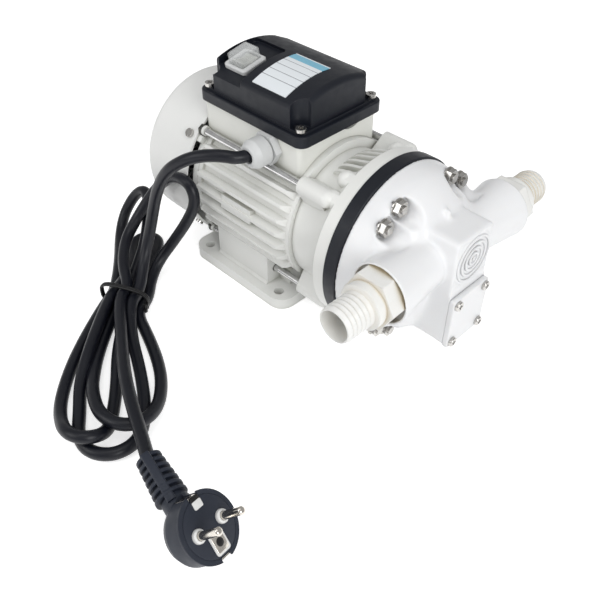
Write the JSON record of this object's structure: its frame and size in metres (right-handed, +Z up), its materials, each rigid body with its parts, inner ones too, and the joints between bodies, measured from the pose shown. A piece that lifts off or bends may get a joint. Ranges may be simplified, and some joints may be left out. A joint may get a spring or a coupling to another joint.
{
  "type": "electric barrel pump",
  "caption": "Mains diaphragm transfer pump: finned foot-mounted motor, switch box, wobble-plate pump head with two hose tails, and a cord with a two-pin earthed plug.",
  "frame": {"origin": "centre of the foot's four-hole pattern, on the floor plane", "axes": "+X along the motor shaft towards the pump head, +Z up, -Y the side where the cord leaves"},
  "size_m": [0.2929, 0.3428, 0.1673],
  "materials": {
    "motor_paint": "semi-gloss off-white enamel over cast aluminium",
    "cowl_paint": "semi-gloss off-white enamel on sheet steel",
    "box_paint": "semi-gloss warm white enamel on a cast box",
    "head_plastic": "smooth white moulded polypropylene",
    "barb_plastic": "smooth white moulded plastic, warmer inside",
    "ring_black": "satin black moulded ring",
    "lid_black": "satin bluish-black moulding with a fine grain",
    "rubber_black": "matt black rubber",
    "switch_black": "satin black moulding",
    "boot_clear": "clear soft moulded cover",
    "rocker_grey": "smooth light-grey moulding",
    "gland_grey": "satin light-grey nylon",
    "label_plate": "printed plate, white with a pale blue band, no lettering",
    "stainless": "bright stainless steel",
    "chrome_steel": "bright plated steel",
    "dark_steel": "blackened steel",
    "bearing_steel": "ground bearing steel",
    "core_steel": "stacked electrical steel",
    "copper_wire": "enamelled copper wire",
    "rotor_metal": "cast aluminium cage on steel",
    "internal_metal": "machined aluminium",
    "fan_plastic": "matt black moulded fan",
    "diaphragm_rubber": "fabric-backed rubber sheet",
    "valve_rubber": "soft valve rubber",
    "plate_plastic": "grey glass-filled moulding",
    "capacitor_white": "smooth white capacitor can",
    "terminal_plastic": "natural nylon terminal strip",
    "cord_pvc": "matt black flexible PVC",
    "tie_black": "matt black strap",
    "plug_grey": "matt blue-black moulded PVC",
    "plug_white": "white insulating moulding",
    "nickel": "nickel-plated brass"
  },
  "bodies": {
    "housing": {"stator_frame": "motor_paint", "foot_bracket": "motor_paint", "foot_bracket_screws": "stainless", "stator_core": "core_steel", "stator_windings": "copper_wire", "rear_end_shield": "motor_paint", "rear_bearing_outer": "bearing_steel", "front_bearing_outer": "bearing_steel", "fan_cowl": "cowl_paint", "cowl_screws": "dark_steel", "tie_rods": "chrome_steel", "tie_rod_nuts": "dark_steel", "terminal_box_base": "box_paint", "terminal_box_gasket": "rubber_black", "terminal_box_lid": "lid_black", "lid_screws": "stainless", "switch_body": "switch_black", "switch_bezel": "switch_black", "switch_boot": "boot_clear", "rating_label": "label_plate", "run_capacitor": "capacitor_white", "terminal_block": "terminal_plastic", "gland_body": "gland_grey", "gland_seal": "rubber_black", "gland_nut": "gland_grey", "bell_housing": "motor_paint", "bell_bolts": "stainless", "diaphragm_ring": "ring_black", "diaphragm": "diaphragm_rubber", "valve_plate": "plate_plastic", "inlet_valves": "valve_rubber", "outlet_valves": "valve_rubber", "pump_head": "head_plastic", "head_nuts": "stainless", "bypass_cover": "head_plastic", "bypass_cover_screws": "stainless", "inlet_hose_barb": "barb_plastic", "outlet_hose_barb": "barb_plastic", "power_cord": "cord_pvc", "cord_hank": "cord_pvc", "cord_lead": "cord_pvc", "hank_tie": "tie_black", "plug_strain_relief": "plug_grey", "plug_body": "plug_grey", "plug_pins": "nickel", "plug_faceplate": "plug_white", "plug_earth_contacts": "nickel"},
    "rotor": {"motor_shaft": "bearing_steel", "rotor_core": "rotor_metal", "cooling_fan": "fan_plastic", "front_bearing_inner": "bearing_steel", "rear_bearing_inner": "bearing_steel", "front_bearing_balls": "bearing_steel", "rear_bearing_balls": "bearing_steel", "eccentric_hub": "internal_metal"},
    "wobble": {"wobble_plate": "internal_metal", "wobble_bearing": "bearing_steel"},
    "rocker": {"rocker": "rocker_grey"},
    "bypass": {"bypass_poppet": "plate_plastic", "bypass_spring": "chrome_steel"}
  },
  "joints": [
    {"name": "shaft_spin", "type": "hinge", "parent": "housing", "child": "rotor", "pos_m": [0, 0, 0.0635], "axis": [1, 0, 0], "continuous": true},
    {"name": "plate_wobble", "type": "hinge", "parent": "rotor", "child": "wobble", "pos_m": [0.076, 0, 0.0635], "axis": [0.9969, 0, 0.0785], "continuous": true},
    {"name": "rocker_tilt", "type": "hinge", "parent": "housing", "child": "rocker", "pos_m": [-0.0254, -0.0147, 0.1521], "axis": [1, 0, 0], "range_deg": [0, 18]},
    {"name": "bypass_lift", "type": "slide", "parent": "housing", "child": "bypass", "axis": [1, 0, 0], "range_m": [0, 0.004], "stiffness_N_per_m": 600, "springref_m": -0.001}
  ],
  "couplings": [
    {"joint": "plate_wobble", "follows": "shaft_spin", "ratio": -1}
  ]
}
